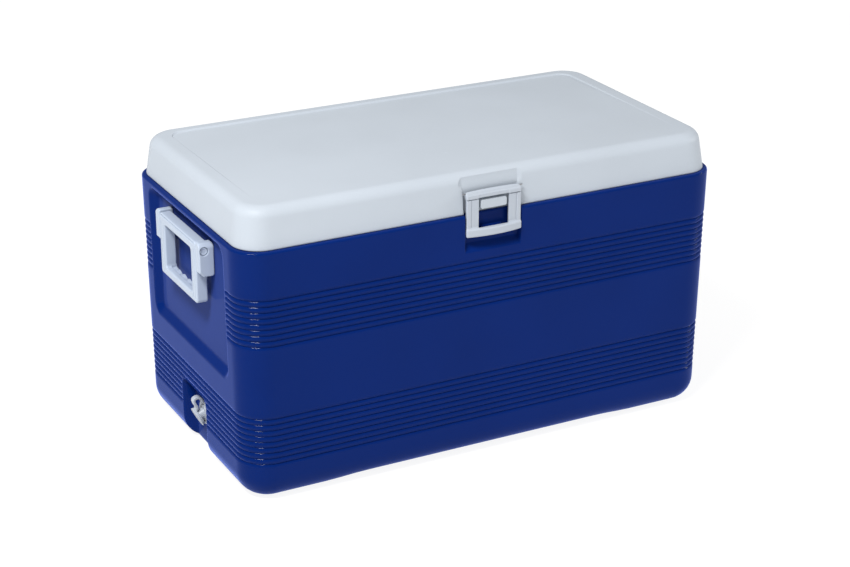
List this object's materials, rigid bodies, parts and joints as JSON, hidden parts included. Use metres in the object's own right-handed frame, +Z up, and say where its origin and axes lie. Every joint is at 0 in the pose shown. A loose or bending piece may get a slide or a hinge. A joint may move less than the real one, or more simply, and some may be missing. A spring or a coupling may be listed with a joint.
{
  "type": "insulated ice chest",
  "caption": "Rectangular insulated ice chest: ribbed double-walled tub, hinged flat lid with front snap latch, swing handle at each end and capped drain.",
  "frame": {"origin": "centre of the chest's footprint, on the surface that it stands on", "axes": "+Z up, +X along the length towards the end without the drain, -Y to the front, where the latch is"},
  "size_m": [0.7412, 0.3986, 0.4088],
  "materials": {
    "body_blue": "deep blue moulded polyethylene, satin",
    "lid_white": "cool white moulded polyethylene, satin, fine grain",
    "liner_white": "white moulded liner, smooth",
    "fitting_white": "white moulded polypropylene, smooth satin",
    "foam": "rigid polyurethane foam, matt",
    "rubber": "black rubber washer, matt",
    "steel": "zinc-plated steel"
  },
  "bodies": {
    "chest": {"body_shell": "body_blue", "body_foam": "foam", "body_liner": "liner_white", "handle_left_bracket_front": "fitting_white", "handle_left_pin_front": "fitting_white", "handle_left_screw_front_1": "steel", "handle_left_screw_front_2": "steel", "handle_left_bracket_rear": "fitting_white", "handle_left_pin_rear": "fitting_white", "handle_left_screw_rear_1": "steel", "handle_left_screw_rear_2": "steel", "handle_right_bracket_front": "fitting_white", "handle_right_pin_front": "fitting_white", "handle_right_screw_front_1": "steel", "handle_right_screw_front_2": "steel", "handle_right_bracket_rear": "fitting_white", "handle_right_pin_rear": "fitting_white", "handle_right_screw_rear_1": "steel", "handle_right_screw_rear_2": "steel", "hinge_left_body_leaf": "fitting_white", "hinge_left_pin": "steel", "hinge_left_body_screw_1": "steel", "hinge_left_body_screw_2": "steel", "hinge_right_body_leaf": "fitting_white", "hinge_right_pin": "steel", "hinge_right_body_screw_1": "steel", "hinge_right_body_screw_2": "steel", "drain_spout": "fitting_white", "drain_washer": "rubber", "drain_nut": "fitting_white"},
    "lid": {"lid_shell": "lid_white", "lid_foam": "foam", "lid_liner": "liner_white", "latch_pin": "steel", "hinge_left_lid_leaf": "fitting_white", "hinge_left_lid_screw_1": "steel", "hinge_left_lid_screw_2": "steel", "hinge_right_lid_leaf": "fitting_white", "hinge_right_lid_screw_1": "steel", "hinge_right_lid_screw_2": "steel"},
    "latch": {"latch_bail": "fitting_white"},
    "left_handle": {"handle_left_bail": "fitting_white"},
    "right_handle": {"handle_right_bail": "fitting_white"},
    "drain_cap": {"drain_cap": "fitting_white"}
  },
  "joints": [
    {"name": "lid_hinge", "type": "hinge", "parent": "chest", "child": "lid", "pos_m": [0, 0.1958, 0.35415], "axis": [-1, 0, 0], "range_deg": [0, 105]},
    {"name": "latch_swing", "type": "hinge", "parent": "lid", "child": "latch", "pos_m": [0, -0.1865, 0.3833], "axis": [-1, 0, 0], "range_deg": [0, 170]},
    {"name": "left_handle_swing", "type": "hinge", "parent": "chest", "child": "left_handle", "pos_m": [-0.3636, 0, 0.3235], "axis": [0, 1, 0], "range_deg": [0, 90]},
    {"name": "right_handle_swing", "type": "hinge", "parent": "chest", "child": "right_handle", "pos_m": [0.3636, 0, 0.3235], "axis": [0, -1, 0], "range_deg": [0, 90]},
    {"name": "drain_cap_swing", "type": "hinge", "parent": "chest", "child": "drain_cap", "pos_m": [-0.3458, 0, 0.0727], "axis": [0, 1, 0], "range_deg": [0, 45]}
  ]
}
